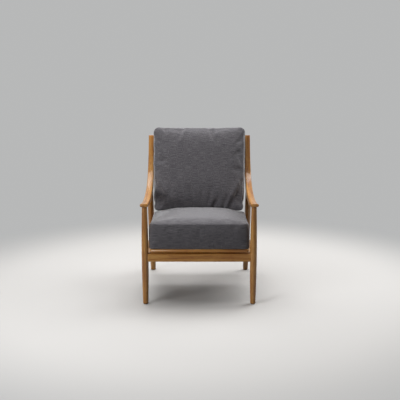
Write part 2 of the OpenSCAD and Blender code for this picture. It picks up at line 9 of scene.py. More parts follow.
import bmesh
import bpy
from mathutils import Matrix, Vector, noise
from mathutils.bvhtree import BVHTree


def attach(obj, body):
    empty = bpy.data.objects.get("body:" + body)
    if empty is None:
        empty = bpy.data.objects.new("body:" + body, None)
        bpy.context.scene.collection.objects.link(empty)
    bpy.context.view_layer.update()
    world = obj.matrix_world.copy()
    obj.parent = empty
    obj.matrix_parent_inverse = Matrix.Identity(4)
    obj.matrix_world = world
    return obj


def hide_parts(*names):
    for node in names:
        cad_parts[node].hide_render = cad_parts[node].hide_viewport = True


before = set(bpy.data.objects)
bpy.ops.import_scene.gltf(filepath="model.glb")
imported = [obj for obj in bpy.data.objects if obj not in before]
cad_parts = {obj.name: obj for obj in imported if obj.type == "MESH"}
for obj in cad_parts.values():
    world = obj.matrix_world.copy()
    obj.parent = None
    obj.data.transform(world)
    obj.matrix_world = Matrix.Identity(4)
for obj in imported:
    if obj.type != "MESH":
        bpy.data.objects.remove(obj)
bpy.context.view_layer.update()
scene = bpy.context.scene

# Places and sizes of the chair's solids that new pieces are fitted to
LEG_X = 0.304  # middle of a leg, across the chair
ORIGIN_Y = -0.330747  # middle of the front feet; lengths along the chair are measured from there
RAIL_TOP = 0.293  # top of the front rail
SEAT_TILT = math.radians(3.5)
BACK_LEAN = math.radians(18.6596)
BACK_RAIL = Vector((0, 0.445, 0.243782))  # middle of the lower back rail
REAR_LEG_LEAN = math.radians(20)
FRAME_THICK = 0.028
REST_GAP = 0.0003  # air between pieces that rest on each other
QUARTER = math.pi / 2


def place_seat():
    """The seat frame's own plane: it turns about the top of the front rail."""
    return Matrix.Translation((0, ORIGIN_Y, RAIL_TOP)) @ Matrix.Rotation(-SEAT_TILT, 4, "X")


def place_back():
    """The plane of the spindles: it turns about the lower back rail."""
    foot = BACK_RAIL + Vector((0, ORIGIN_Y, 0))
    return Matrix.Translation(foot) @ Matrix.Rotation(-BACK_LEAN, 4, "X")


def mix(a, b, t):
    return a + (b - a) * t


def ease(t):
    """Goes from 0 to 1 with a level start and end."""
    return t * t * (3 - 2 * t)


def within(value, low, high):
    return max(low, min(high, value))


def ramp(value, start, end):
    """Eases from 0 at start to 1 at end, and stays level past both."""
    return ease(within((value - start) / (end - start), 0, 1))


# Colours and shader nodes

COLOUR_A, COLOUR_B, MIXED = 6, 7, 2  # a Mix node's two colour inputs and its colour output
WAVE_STEP = 2 * math.pi / 20  # ridges of a wave texture stand this far apart at a scale of 1


def linear(hex_colour):
    """An sRGB hex value as the linear RGBA that shaders take."""
    channels = [int(hex_colour[i : i + 2], 16) / 255 for i in (1, 3, 5)]
    return [c / 12.92 if c <= 0.04045 else ((c + 0.055) / 1.055) ** 2.4 for c in channels] + [1]


def feed(tree, node, inputs):
    """Gives a node its inputs: a socket is linked, a hex colour turned to linear, the rest set."""
    for name, value in inputs.items():
        if isinstance(value, bpy.types.NodeSocket):
            tree.links.new(value, node.inputs[name])
        else:
            node.inputs[name].default_value = linear(value) if isinstance(value, str) else value


def add(tree, kind, inputs=None, stops=None, **settings):
    """Adds a shader node: its settings, then its inputs, then its colour stops."""
    made = tree.nodes.new("ShaderNode" + kind)
    for name, value in settings.items():
        setattr(made, name, value)
    feed(tree, made, inputs or {})
    if stops:
        elements = made.color_ramp.elements
        while len(elements) < len(stops):
            elements.new(0.5)
        for element, (place, colour) in zip(elements, stops):
            element.position = place
            element.color = linear(colour)
    return made


def new_material(name):
    """A material with an empty tree apart from its shader and output."""
    material = bpy.data.materials.new(name)
    material.use_nodes = True
    tree = material.node_tree
    tree.nodes.clear()
    shader = add(tree, "BsdfPrincipled")
    add(tree, "OutputMaterial", {"Surface": shader.outputs["BSDF"]})
    return material, tree, shader


# Oak, planed and sanded, under a satin clear lacquer: warm honey, with straight darker growth
# lines, open pores as short dark dashes along the grain, and a soft sheen that breaks along them.
OAK = ("#bf8d48", "#ae7834", "#8a5720")
# Beech, sanded and left bare inside the frame: paler and plainer than the oak, fine short flecks.
BEECH = ("#dcb98c", "#cfa673", "#b98c59")
BAND_MM, BAND_STRETCH = 16, 26  # width of a growth band across the grain, and its length in widths
PORE_MM = 2.6  # real pores are 0.3 mm wide, drawn coarse enough to show
PORES_PER_M = 34  # one after another along the grain
PATCH_M = 0.2  # width of the patches in which a board turns a little paler or darker


def lacquered_oak(name, turn=(0, 0, 0), follow=None, shades=OAK):
    """Timber in three shades from light to dark. turn is the rotation that lays the piece's grain
    along X; follow names an attribute that already has it so."""
    light, mid, dark = shades
    material, tree, shader = new_material(name)
    if follow:
        place = add(tree, "Attribute", attribute_name=follow).outputs["Vector"]
    else:
        place = add(tree, "TexCoord").outputs["Object"]
    grain = add(tree, "Mapping", {"Vector": place, "Rotation": turn}).outputs["Vector"]
    across = 1000 / BAND_MM
    bands = add(
        tree, "Mapping", {"Vector": grain, "Scale": (across / BAND_STRETCH, across, across)}
    )
    figure = add(tree, "TexNoise", {
        "Vector": bands.outputs["Vector"], "Scale": 1.0, "Detail": 5.0, "Roughness": 0.62,
        "Distortion": 0.35,
    })
    pores = add(
        tree, "Mapping", {"Vector": grain, "Scale": (PORES_PER_M, 1000 / PORE_MM, 1000 / PORE_MM)}
    )
    pore = add(tree, "TexNoise", {
        "Vector": pores.outputs["Vector"], "Scale": 1.0, "Detail": 2.0, "Roughness": 0.5,
    })
    patches = add(tree, "TexNoise", {"Vector": grain, "Scale": 1 / PATCH_M, "Detail": 1.0})
    tone = add(
        tree, "ValToRGB", {"Fac": figure.outputs["Fac"]},
        stops=[(0.30, dark), (0.46, mid), (0.56, light), (0.72, mid)],
    )
    dashes = add(
        tree, "ValToRGB", {"Fac": pore.outputs["Fac"]}, stops=[(0.34, "#b98a58"), (0.47, "#ffffff")]
    )
    grained = add(
        tree, "Mix",
        {"Factor": 0.55, COLOUR_A: tone.outputs["Color"], COLOUR_B: dashes.outputs["Color"]},
        data_type="RGBA", blend_type="MULTIPLY",
    )
    drift = add(
        tree, "ValToRGB", {"Fac": patches.outputs["Fac"]},
        stops=[(0.35, "#e9dccb"), (0.65, "#ffffff")],
    )
    colour = add(
        tree, "Mix",
        {"Factor": 1.0, COLOUR_A: grained.outputs[MIXED], COLOUR_B: drift.outputs["Color"]},
        data_type="RGBA", blend_type="MULTIPLY",
    )
    rough = add(tree, "MapRange", {"Value": pore.outputs["Fac"], "To Min": 0.44, "To Max": 0.30})
    bump = add(
        tree, "Bump", {"Height": pore.outputs["Fac"], "Strength": 0.10, "Distance": 0.0006}
    )
    feed(tree, shader, {
        "Base Color": colour.outputs[MIXED], "Roughness": rough.outputs["Result"],
        "Normal": bump.outputs["Normal"], "IOR": 1.5, "Specular IOR Level": 0.3,
        "Coat Weight": 0.55, "Coat Roughness": 0.18,
    })
    return material


# Heathered polyester in a flat weave: two greys twisted together, so it shows short slubs along
# the weft, mostly dull, with a faint pale bloom where light grazes the fibres.
CLOTH = ("#7b787a", "#686568", "#555257")
SLUB_MM = (46, 3.0)  # length along the weft and width of one slub
TUFT_MM, TUFT_STRETCH = 2.2, 0.3  # width of a fleck of one grey, and its width over its length
WEAVE_MM = 1.4475  # two threads of 0.6 mm yarn, drawn a little coarser


def heathered_cloth(name):
    light, mid, dark = CLOTH
    material, tree, shader = new_material(name)
    weft = add(tree, "UVMap", uv_map="weft").outputs["UV"]
    slubs = add(
        tree, "Mapping", {"Vector": weft, "Scale": (1000 / SLUB_MM[0], 1000 / SLUB_MM[1], 1)}
    )
    slub = add(
        tree, "TexNoise",
        {"Vector": slubs.outputs["Vector"], "Scale": 1.0, "Detail": 3.0, "Roughness": 0.6},
        noise_dimensions="2D",
    )
    flecks = 1000 / TUFT_MM
    tufts = add(
        tree, "Mapping", {"Vector": weft, "Scale": (flecks * TUFT_STRETCH, flecks, 1)}
    )
    tuft = add(
        tree, "TexNoise", {"Vector": tufts.outputs["Vector"], "Scale": 1.0, "Detail": 2.0},
        noise_dimensions="2D",
    )
    threads = {"Vector": weft, "Scale": WAVE_STEP * 1000 / WEAVE_MM, "Distortion": 1.2}
    warp = add(tree, "TexWave", threads, bands_direction="X")
    weave = add(tree, "TexWave", threads, bands_direction="Y")
    tone = add(
        tree, "ValToRGB", {"Fac": slub.outputs["Fac"]},
        stops=[(0.30, dark), (0.50, mid), (0.70, light)],
    )
    specks = add(
        tree, "ValToRGB", {"Fac": tuft.outputs["Fac"]}, stops=[(0.30, "#a9a8aa"), (0.68, "#ffffff")]
    )
    colour = add(
        tree, "Mix",
        {"Factor": 0.9, COLOUR_A: tone.outputs["Color"], COLOUR_B: specks.outputs["Color"]},
        data_type="RGBA", blend_type="MULTIPLY",
    )
    crossed = add(
        tree, "Math", {0: warp.outputs["Fac"], 1: weave.outputs["Fac"]}, operation="ADD"
    )
    height = add(
        tree, "Math", {0: crossed.outputs["Value"], 1: slub.outputs["Fac"]}, operation="ADD"
    )
    bump = add(
        tree, "Bump", {"Height": height.outputs["Value"], "Strength": 0.35, "Distance": 0.0008}
    )
    feed(tree, shader, {
        "Base Color": colour.outputs[MIXED], "Normal": bump.outputs["Normal"], "Roughness": 0.92,
        "IOR": 1.5, "Specular IOR Level": 0.25, "Sheen Weight": 0.6, "Sheen Roughness": 0.45,
    })
    return material


def ribbed_tape(name, rib_mm, direction, light, dark):
    """Woven tape or webbing: fine ribs across its length, from thick yarns under thin ones."""
    material, tree, shader = new_material(name)
    place = add(tree, "TexCoord").outputs["Object"]
    ribs = add(
        tree, "TexWave",
        {"Vector": place, "Scale": WAVE_STEP * 1000 / rib_mm, "Distortion": 0.6, "Detail": 1.0},
        bands_direction=direction,
    )
    tone = add(tree, "ValToRGB", {"Fac": ribs.outputs["Fac"]}, stops=[(0.2, dark), (0.8, light)])
    bump = add(tree, "Bump", {"Height": ribs.outputs["Fac"], "Strength": 0.5, "Distance": 0.0006})
    feed(tree, shader, {
        "Base Color": tone.outputs["Color"], "Normal": bump.outputs["Normal"], "Roughness": 0.8,
    })
    return material


def plain_finish(name, colour, roughness, metallic=0.0, mottle_mm=3.0):
    """A plain hard finish whose gloss and tone vary a little, as plating and moulding leave it."""
    material, tree, shader = new_material(name)
    place = add(tree, "TexCoord").outputs["Object"]
    mottle = add(tree, "TexNoise", {"Vector": place, "Scale": 1000 / mottle_mm, "Detail": 3.0})
    rough = add(tree, "MapRange", {
        "Value": mottle.outputs["Fac"], "To Min": roughness - 0.08, "To Max": roughness + 0.08,
    })
    full = linear(colour)
    dull = [c * 0.8 for c in full[:3]] + [1]
    shade = add(
        tree, "Mix", {"Factor": mottle.outputs["Fac"], COLOUR_A: full, COLOUR_B: dull},
        data_type="RGBA",
    )
    bump = add(
        tree, "Bump", {"Height": mottle.outputs["Fac"], "Strength": 0.03, "Distance": 0.0003}
    )
    feed(tree, shader, {
        "Base Color": shade.outputs[MIXED], "Roughness": rough.outputs["Result"],
        "Normal": bump.outputs["Normal"], "Metallic": metallic,
    })
    return material


oak_across = lacquered_oak("lacquered_oak_across")
oak_side = lacquered_oak("lacquered_oak_side_rails", turn=(SEAT_TILT, 0, -QUARTER))
oak_upright = lacquered_oak("lacquered_oak_front_legs", turn=(0, QUARTER, 0))
oak_raked = lacquered_oak("lacquered_oak_rear_legs", turn=(-REAR_LEG_LEAN, QUARTER, 0))
oak_spindle = lacquered_oak("lacquered_oak_spindles", turn=(BACK_LEAN, QUARTER, 0))
oak_arm = lacquered_oak("lacquered_oak_arms", follow="grain")
beech_side = lacquered_oak("sanded_beech_battens", turn=(0, 0, -QUARTER), shades=BEECH)
beech_across = lacquered_oak("sanded_beech_across", shades=BEECH)
cloth = heathered_cloth("heathered_polyester_weave")
# Rubber-cored webbing: black ribs over dark brown rubber. Zip tape: dull grey twill ribs.
WEB_RIB_MM = 5.922  # real ribs are 2 mm apart, drawn coarse enough to show
TAPE_RIB_MM = 3.948  # real ribs are 0.5 mm apart, drawn coarser
webbing_long = ribbed_tape("elastic_webbing_lengthwise", WEB_RIB_MM, "Y", "#3a3634", "#191716")
webbing_cross = ribbed_tape("elastic_webbing_crosswise", WEB_RIB_MM, "X", "#3a3634", "#191716")
zip_tape = ribbed_tape("polyester_zip_tape", TAPE_RIB_MM, "X", "#4c4a4d", "#2e2d2f")
# Screws: zinc plating over drawn steel, satin and faintly mottled. Zip sliders: die-cast and
# nickelled, duller. Glides and zip teeth: nylon as it leaves the mould, dark with a soft gloss.
zinc = plain_finish("zinc_plated_steel", "#c8c5b4", 0.35, metallic=1.0)
nickel = plain_finish("dull_nickel_zip", "#8f8c88", 0.42, metallic=1.0)
nylon = plain_finish("moulded_nylon_glide", "#2a2724", 0.5)
nylon_teeth = plain_finish("moulded_nylon_teeth", "#3b393b", 0.4, mottle_mm=1.0)

# Finish of the solids that stay, by the start of their names
FINISHES = {
    "front_leg": oak_upright, "rear_leg": oak_raked, "arm": oak_arm, "side_rail": oak_side,
    "front_rail": oak_across, "rear_rail": oak_across, "crest_rail": oak_across,
    "lower_back_rail": oak_across, "spindle": oak_spindle, "seat_batten": beech_side,
    "seat_frame_left": beech_side, "seat_frame_right": beech_side,
    "seat_frame_rear": beech_across, "seat_frame_dowels": beech_across,
    "batten_screws": zinc, "seat_frame_screws": zinc, "webbing": webbing_long, "glide": nylon,
    "seat_zip_tape": zip_tape, "back_zip_tape": zip_tape,
    "seat_zip_slider": nickel, "back_zip_slider": nickel,
}
for name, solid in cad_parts.items():
    for start, finish in FINISHES.items():
        if name.startswith(start):
            for slot in solid.material_slots:
                slot.material = finish


def finished(name, bm, material, body, sharp=40):
    """Turns a bmesh into a smooth-shaded piece that rides on a body. Edges that turn by more than
    sharp degrees stay crisp."""
    bmesh.ops.recalc_face_normals(bm, faces=bm.faces)
    mesh = bpy.data.meshes.new(name)
    bm.to_mesh(mesh)
    bm.free()
    piece = bpy.data.objects.new(name, mesh)
    scene.collection.objects.link(piece)
    mesh.materials.append(material)
    mesh.shade_smooth()
    mesh.set_sharp_from_angle(angle=math.radians(sharp))
    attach(piece, body)
    return piece


def cut(bm, place, normal):
    """Cuts the whole mesh along a plane, so that it can bend there."""
    everything = bm.verts[:] + bm.edges[:] + bm.faces[:]
    bmesh.ops.bisect_plane(bm, geom=everything, plane_co=place, plane_no=normal)


def sliced_bar(count):
    """A unit bar along Z cut into equal slices, the number of the cut that each vertex lies on,
    and the bar's long edges."""
    bm = bmesh.new()
    bmesh.ops.create_cube(bm, size=1)
    for i in range(1, count):
        cut(bm, (0, 0, i / count - 0.5), (0, 0, 1))
    slices = {vert: round((vert.co.z + 0.5) * count) for vert in bm.verts}
    long_edges = [e for e in bm.edges if slices[e.verts[0]] != slices[e.verts[1]]]
    return bm, slices, long_edges


def round_edges(bm, edges, offset, segments):
    bmesh.ops.bevel(
        bm, geom=edges, offset=offset, offset_type="OFFSET", segments=segments, profile=0.5,
        affect="EDGES", clamp_overlap=True, material=-1,
    )


# Arms: one sculpted piece each, from the front tip through the bend to the top of the back post.
# Points of the curves are distance behind the front legs and height.

ARM_REACH, ARM_Z, ARM_DIP = 0.045, 0.578, 0.041
KNEE, KNEE_DIR = Vector((0.569, 0.640)), Vector((1, 1))
POST_TOP = Vector((0.664, 0.888))
ARM_FRONT = [
    Vector((-ARM_REACH, ARM_Z)), Vector((0.165, ARM_Z - ARM_DIP)), KNEE - 0.094 * KNEE_DIR, KNEE,
]
ARM_BACK = [KNEE, KNEE + 0.028 * KNEE_DIR, POST_TOP - Vector((0.036, 0.098)), POST_TOP]
ARM_T, TIP_T, KNEE_T, POST_T = 0.023, 0.016, 0.064, 0.032  # thickness at each place
ARM_W, KNEE_W, POST_W = 0.040, 0.038, 0.033  # width at each place
FLARE, TIP_SHARE = 0.005, 0.12  # the tip flares by this much, over this share of the first curve
THICK_POWER = 1.5  # how late the arm thickens towards the bend
ARM_W_BY, POST_T_BY, POST_W_BY = 1.6, 1.15, 1.3  # how much sooner than its curve each size ends
ARM_EDGE, END_EDGE = 0.0065, 0.002
FRONT_STATIONS, BACK_STATIONS = 70, 36
ARM_SHIFT = 0.4  # the two arms come from places in the timber this far to each side


def bezier(p, t):
    s = 1 - t
    return s**3 * p[0] + 3 * t * s**2 * p[1] + 3 * t * t * s * p[2] + t**3 * p[3]


def bezier_dir(p, t):
    s = 1 - t
    slope = s**2 * (p[1] - p[0]) + 2 * t * s * (p[2] - p[1]) + t * t * (p[3] - p[2])
    return slope.normalized()


def arm_stations():
    """Centre, direction, thickness and width of the arm from its tip to the post's top."""
    stations = []
    for i in range(FRONT_STATIONS + 1):
        t = i / FRONT_STATIONS
        tip = (1 - min(1, t / TIP_SHARE)) ** 2
        thick = mix(ARM_T, KNEE_T, ease(t) ** THICK_POWER) - (ARM_T - TIP_T) * tip
        wide = mix(ARM_W, KNEE_W, ease(min(1, t * ARM_W_BY))) + FLARE * tip
        stations.append((bezier(ARM_FRONT, t), bezier_dir(ARM_FRONT, t), thick, wide))
    for i in range(1, BACK_STATIONS + 1):
        t = i / BACK_STATIONS
        thick = mix(KNEE_T, POST_T, ease(min(1, t * POST_T_BY)))
        wide = mix(KNEE_W, POST_W, ease(min(1, t * POST_W_BY)))
        stations.append((bezier(ARM_BACK, t), bezier_dir(ARM_BACK, t), thick, wide))
    return stations


def station_frame(centre, along):
    """Matrix from a station's own plane (X across, Y out of the top face) into the chair."""
    matrix = Matrix.Identity(4)
    matrix.col[0][:3] = (1, 0, 0)
    matrix.col[1][:3] = (0, -along[1], along[0])
    matrix.col[2][:3] = (0, along[0], along[1])
    matrix.col[3][:3] = (0, centre[0] + ORIGIN_Y, centre[1])
    return matrix


def arm_piece(side, name):
    """A square bar cut across at every station, each slice then set to its place and size."""
    stations = arm_stations()
    frames = [station_frame(centre, along) for centre, along, _, _ in stations]
    bm, slices, long_edges = sliced_bar(len(stations) - 1)
    for vert in bm.verts:
        _, _, thick, wide = stations[slices[vert]]
        vert.co = frames[slices[vert]] @ Vector((vert.co.x * wide, vert.co.y * thick, 0))
    bmesh.ops.recalc_face_normals(bm, faces=bm.faces)
    round_edges(bm, long_edges, ARM_EDGE, 5)
    ends = [f for f in bm.faces if len(f.verts) > 6]
    round_edges(bm, list(dict.fromkeys(e for f in ends for e in f.edges)), END_EDGE, 2)
    # The grain follows the curve: distance along the arm, across it and up through it
    lengths = [0.0]
    for before, after in zip(stations, stations[1:]):
        lengths.append(lengths[-1] + (after[0] - before[0]).length)
    grain = bm.verts.layers.float_vector.new("grain")
    inverses = [matrix.inverted() for matrix in frames]
    for vert in bm.verts:
        nearest = min(range(len(stations)), key=lambda i: abs((inverses[i] @ vert.co).z))
        local = inverses[nearest] @ vert.co
        vert[grain] = (lengths[nearest] + local.z, local.x + ARM_SHIFT * side, local.y)
    bmesh.ops.translate(bm, verts=bm.verts, vec=(side * LEG_X, 0, 0))
    piece = finished(name + "_sculpted", bm, oak_arm, "frame", sharp=35)
    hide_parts(name)


arm_piece(-1, "arm_left")
arm_piece(1, "arm_right")


# Seat frame: a recess runs between the rounded nose of its front member and the front rail

RECESS_H, RECESS_D, RECESS_EDGE = 0.012, 0.026, 0.002


def on_level(edges, axis, level):
    return [e for e in edges if all(abs(v.co[axis] - level) < 1e-5 for v in e.verts)]


def recessed_front_member():
    """A copy of the front member's solid with the corner below its nose cut away."""
    bm = bmesh.new()
    bm.from_mesh(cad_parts["seat_frame_front"].data)
    bmesh.ops.remove_doubles(bm, verts=bm.verts, dist=1e-6)
    bmesh.ops.transform(bm, matrix=place_seat().inverted(), verts=bm.verts)
    back = min(v.co.y for v in bm.verts) + RECESS_D
    cut(bm, (0, 0, RECESS_H), (0, 0, 1))
    cut(bm, (0, back, 0), (0, 1, 0))
    middles = {f: f.calc_center_median() for f in bm.faces}
    corner = [f for f, c in middles.items() if c.z < RECESS_H and c.y < back]
    bmesh.ops.delete(bm, geom=corner, context="FACES")
    rim = [e for e in bm.edges if e.is_boundary]
    under, wall = on_level(rim, 2, RECESS_H), on_level(rim, 1, back)
    corners = [v for e in under for v in e.verts if any(v in other.verts for other in wall)]
    ridge = bmesh.ops.contextual_create(bm, geom=corners)["edges"]
    for side in (under, wall):
        bmesh.ops.edgeloop_fill(bm, edges=side + ridge)
    round_edges(bm, under, RECESS_EDGE, 3)
    bmesh.ops.transform(bm, matrix=place_seat(), verts=bm.verts)
    piece = finished("seat_frame_front_recessed", bm, oak_across, "frame")
    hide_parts("seat_frame_front")


recessed_front_member()


# Elastic webbing: strips woven over and under each other, let into the seat frame

STRAP_W, STRAP_T, STRAP_EDGE = 0.050, 0.0016, 0.0005
STRAP_FLAT = 0.0265  # half length of the flat part over a crossing
STRAP_SLICES = 110
WEB_LIFT = 0.000825  # rise of a strap's middle where it passes over another
WEB_CENTRE = Vector((0, 0.2025, 0.02635))
# Length, crossings, their pitch, number of straps, their pitch, and 1 where over and under swap
WEAVE = {
    "webbing_lengthwise": (0.3848, 4, 0.0892, 5, 0.09236, 0),
    "webbing_crosswise": (0.4898, 5, 0.09236, 4, 0.0892, 1),
}


def strap_height(s, length, crossings, pitch, first):
    """Height of a strap's middle at s along it: level over each crossing, easing up or down
    between them."""
    stops = [(-length / 2, -WEB_LIFT)]
    for i in range(1, crossings + 1):
        centre = (i - (crossings + 1) / 2) * pitch
        height = WEB_LIFT if (i + first) % 2 == 0 else -WEB_LIFT
        stops += [(centre - STRAP_FLAT, height), (centre + STRAP_FLAT, height)]
    stops.append((length / 2, -WEB_LIFT))
    for (s0, h0), (s1, h1) in zip(stops, stops[1:]):
        if s <= s1:
            return mix(h0, h1, ramp(s, s0, s1))
    return -WEB_LIFT


def woven_straps(name, material):
    """All straps that run one way, in one piece."""
    length, crossings, pitch, count, spacing, change = WEAVE[name]
    lengthwise = name == "webbing_lengthwise"
    woven = bmesh.new()
    for k in range(1, count + 1):
        bm, slices, long_edges = sliced_bar(STRAP_SLICES)
        aside = (k - (count + 1) / 2) * spacing
        for vert in bm.verts:
            s = (slices[vert] / STRAP_SLICES - 0.5) * length
            middle = strap_height(s, length, crossings, pitch, k + change)
            height, across = middle + vert.co.y * STRAP_T, aside + vert.co.x * STRAP_W
            vert.co = (across, s, height) if lengthwise else (s, across, height)
        round_edges(bm, long_edges, STRAP_EDGE, 2)
        one = bpy.data.meshes.new(name + "_strap")
        bm.to_mesh(one)
        bm.free()
        woven.from_mesh(one)
        bpy.data.meshes.remove(one)
    laid = place_seat() @ Matrix.Translation(WEB_CENTRE)
    bmesh.ops.transform(woven, matrix=laid, verts=woven.verts)
    piece = finished(name + "_woven", woven, material, "frame")
    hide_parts(name)


woven_straps("webbing_lengthwise", webbing_long)
woven_straps("webbing_crosswise", webbing_cross)


# Cushions: a box of six cut panels each, mapped to its filled shape, then settled as cloth, creased
# and nipped along its seams. A point of the box has coordinates from -1 to 1, called u, v and w
# across, along and up; the back cushion's w points to the sitter.

SEAM_IN = 0.005  # how far the seams lie inside the fullest part of the border
SEAM_NIP, NIP_TIGHT = 0.0025, 30  # how far the thread nips it in past that, and how sharply
SEAM_BAND = 0.0035  # width of the strip beside a seam that turns into it
SKIN = 0.0005  # the cloth lies this far inside the cushion's cut size
CELL = 0.0105  # spacing of the cuts that let the cloth bend
ON_FACE = 0.999  # a coordinate past this is on that side of the box
PANEL_SHIFT = (0.7, 0.37, 0.9)  # moves the pattern on, so that no panel repeats another's cloth
SQUARE = 8  # how square the rings of the swell are
SEAT_LEAN = BACK_LEAN - SEAT_TILT

LIP_SHARE, LIP_RUN = 0.33, 0.09  # the seat's front lip takes this share of its crown, so quickly
RISE_END, RISE_POWER = 1.42, 1.6  # the rest rises up to here along the seat
END_ROLL = 4.2  # how late the back's crown falls towards its top and bottom
SOLE_RISE, SOLE_FLAT = 0.030, 0.040  # the back's sole arches by this, past this distance forward
SOLE_TAPER, SOLE_ASIDE = 0.036, 0.004  # its bottom is narrower, and sits a little to one side
CORNER_DROP = 0.006  # its bottom corners hang by this
SEAT_MID = 0.212  # the seat's middle lies this far behind the front legs
BACK_LOW = 0.218  # the back's sole lies this far up the spindles from the lower back rail
RAIL_HALF = 0.011  # half the thickness of that rail


def seat_rise(v):
    """Share of the seat's crown along it: a quick rise at the front edge, and a steady one up to
    the back cushion."""
    t = min(1, (v + 1) / RISE_END)
    lip = 1 - (1 - min(1, t / LIP_RUN)) ** 2
    swell = 1 - (1 - t) ** RISE_POWER
    return mix(swell, lip, LIP_SHARE) * (1 - max(0, v) ** 3)


def back_rise(v):
    """Share of the back's crown along it: nearly flat, and round at both ends."""
    return 1 - abs(v) ** END_ROLL


# under and crown are the swell of the lower and the upper face, and corner the radius of the plan.
# low_tuck is the share of the seam's tuck that the lower half of the border keeps. side_pull and
# end_pull are how far the sides and one end draw in between their corners, or bow out where they
# are negative, low_pull is the share of end_pull at the bottom, and flat_side the end that stays
# straight. shift is how far the highest place lies off the middle, and side_roll how late the
# crown falls towards the sides.
SEAT = {
    "width": 0.5675, "length": 0.460, "height": 0.145, "under": 0, "crown": 0.048,
    "corner": 0.030, "low_tuck": 0.3, "side_pull": 0, "end_pull": -0.015, "low_pull": 0.1,
    "flat_side": 1, "shift": 0.036, "side_roll": 3.4, "rise": seat_rise,
}
BACK = {
    "width": 0.568, "length": 0.494, "height": 0.112, "under": 0.012, "crown": 0.030,
    "corner": 0.034, "low_tuck": 1, "side_pull": 0.001, "end_pull": 0.005, "low_pull": 1,
    "flat_side": -1, "shift": 0, "side_roll": 4.2, "rise": back_rise,
}
SEAT_PLACE = place_seat() @ Matrix.Translation((0, SEAT_MID, FRAME_THICK + REST_GAP))
BACK_PLACE = (
    place_back()
    @ Matrix.Translation((0, -RAIL_HALF - REST_GAP - BACK["under"], BACK_LOW + BACK["length"] / 2))
    @ Matrix.Rotation(QUARTER, 4, "X")
)


def halves(cushion):
    return [cushion[size] / 2 for size in ("width", "length", "height")]


def plan_point(u, v, w, a, b, cushion):
    """Where a point of the box lies in the sewn cushion's plan of half sizes a and b. The border's
    plan has round corners; towards the middle of a face it turns back into the cut square."""
    m = max(abs(u), abs(v), 1e-6)
    x, y, corner = abs(u) / m * a, abs(v) / m * b, cushion["corner"]
    past = (x - (a - corner), y - (b - corner))
    if min(past) > 0:
        turn = math.pi / 4 * min(past) / max(past)
        far, near = corner * math.cos(turn), corner * math.sin(turn)
        if past[0] < past[1]:
            far, near = near, far
        x, y = a - corner + far, b - corner + near
    x = math.copysign(mix(abs(u) * a, m * x, m**4), u)
    y = math.copysign(mix(abs(v) * b, m * y, m**4), v)
    end_pull = cushion["end_pull"] * mix(cushion["low_pull"], 1, (w + 1) / 2)
    dx = cushion["side_pull"] * (x / a) * (1 - (y / b) ** 2)
    dy = 0 if y * cushion["flat_side"] > 0 else end_pull * (y / b) * (1 - (x / a) ** 4)
    return x - dx, y - dy


def cushion_point(cushion, box):
    """Place of a point of the box in the filled cushion, before it leans."""
    u, v, w = box
    a, b, height = cushion["width"] / 2 - SKIN, cushion["length"] / 2 - SKIN, cushion["height"]
    tuck = cushion["low_tuck"] if w < 0 else 1
    if max(abs(u), abs(v)) > ON_FACE:
        tuck *= SEAM_IN * w * w + SEAM_NIP * abs(w) ** NIP_TIGHT
        x, y = plan_point(u, v, w, a - tuck, b - tuck, cushion)
        return Vector((x, y, mix(SKIN, height - SKIN, (w + 1) / 2)))
    tuck *= SEAM_IN + SEAM_NIP
    x, y = plan_point(u, v, w, a - tuck, b - tuck, cushion)
    across, along = u**SQUARE, v**SQUARE
    f = (across + along - across * along) ** (1 / SQUARE)
    if w > 0:
        crown = cushion["crown"] * (1 - abs(u) ** cushion["side_roll"]) * cushion["rise"](v)
        return Vector((x, y + cushion["shift"] * (1 - f), height - SKIN + crown))
    return Vector((x, y, SKIN - cushion["under"] * (1 - f**4)))


def seat_warp(p):
    """The seat's rear border leans back with the spindles."""
    rear = max(0, 2 * p.y / SEAT["length"]) ** 3
    return Vector((p.x, p.y + p.z * math.tan(SEAT_LEAN) * rear, p.z))


def back_warp(p):
    """The back's sole lies along the seat cushion, arched in the middle and low at its corners."""
    share = max(0, 0.5 - p.y / BACK["length"]) ** 2
    arch = SOLE_RISE * max(0, p.z - SOLE_FLAT) / (BACK["height"] + BACK["crown"] - SOLE_FLAT)
    side = min(1, abs(2 * p.x / BACK["width"]))
    lift = arch * (1 - side**2) - p.z * math.tan(SEAT_LEAN) - CORNER_DROP * side**6
    return Vector((p.x * (1 - SOLE_TAPER * share) - SOLE_ASIDE * share, p.y + share * lift, p.z))


def boxes(piece):
    """Each vertex's place on its box."""
    return [item.vector.copy() for item in piece.data.attributes["box"].data]


